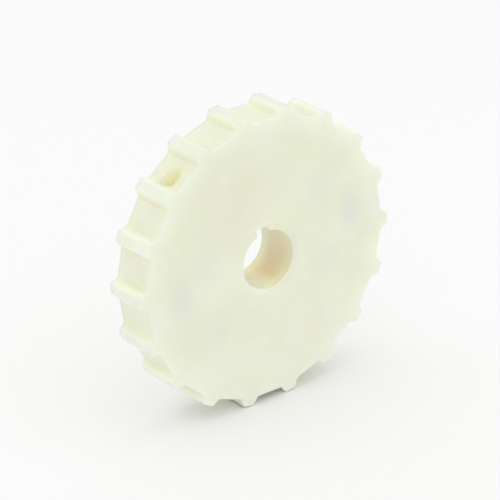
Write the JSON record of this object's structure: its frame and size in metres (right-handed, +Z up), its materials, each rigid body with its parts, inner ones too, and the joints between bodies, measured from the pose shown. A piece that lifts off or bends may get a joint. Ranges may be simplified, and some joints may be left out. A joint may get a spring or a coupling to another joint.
{
  "type": "split sprocket",
  "caption": "Split plastic sprocket: toothed half discs screwed and pinned together round a keyed shaft bore, to drive a modular belt.",
  "frame": {"origin": "centre of the shaft bore, half way between the two faces", "axes": "+Y along the shaft, from the front face to the back face; +Z up, with the wheel standing on two teeth; the keyway lies half a tooth pitch to the left of +Z seen from the front"},
  "size_m": [0.1518, 0.024, 0.1504],
  "materials": {
    "natural_plastic": "machined, slightly translucent ivory",
    "steel": "turned"
  },
  "bodies": {
    "root": {"upper_half": "natural_plastic", "lower_half": "natural_plastic", "left_screw": "steel", "right_screw": "steel", "left_pin": "steel", "right_pin": "steel"}
  },
  "joints": []
}
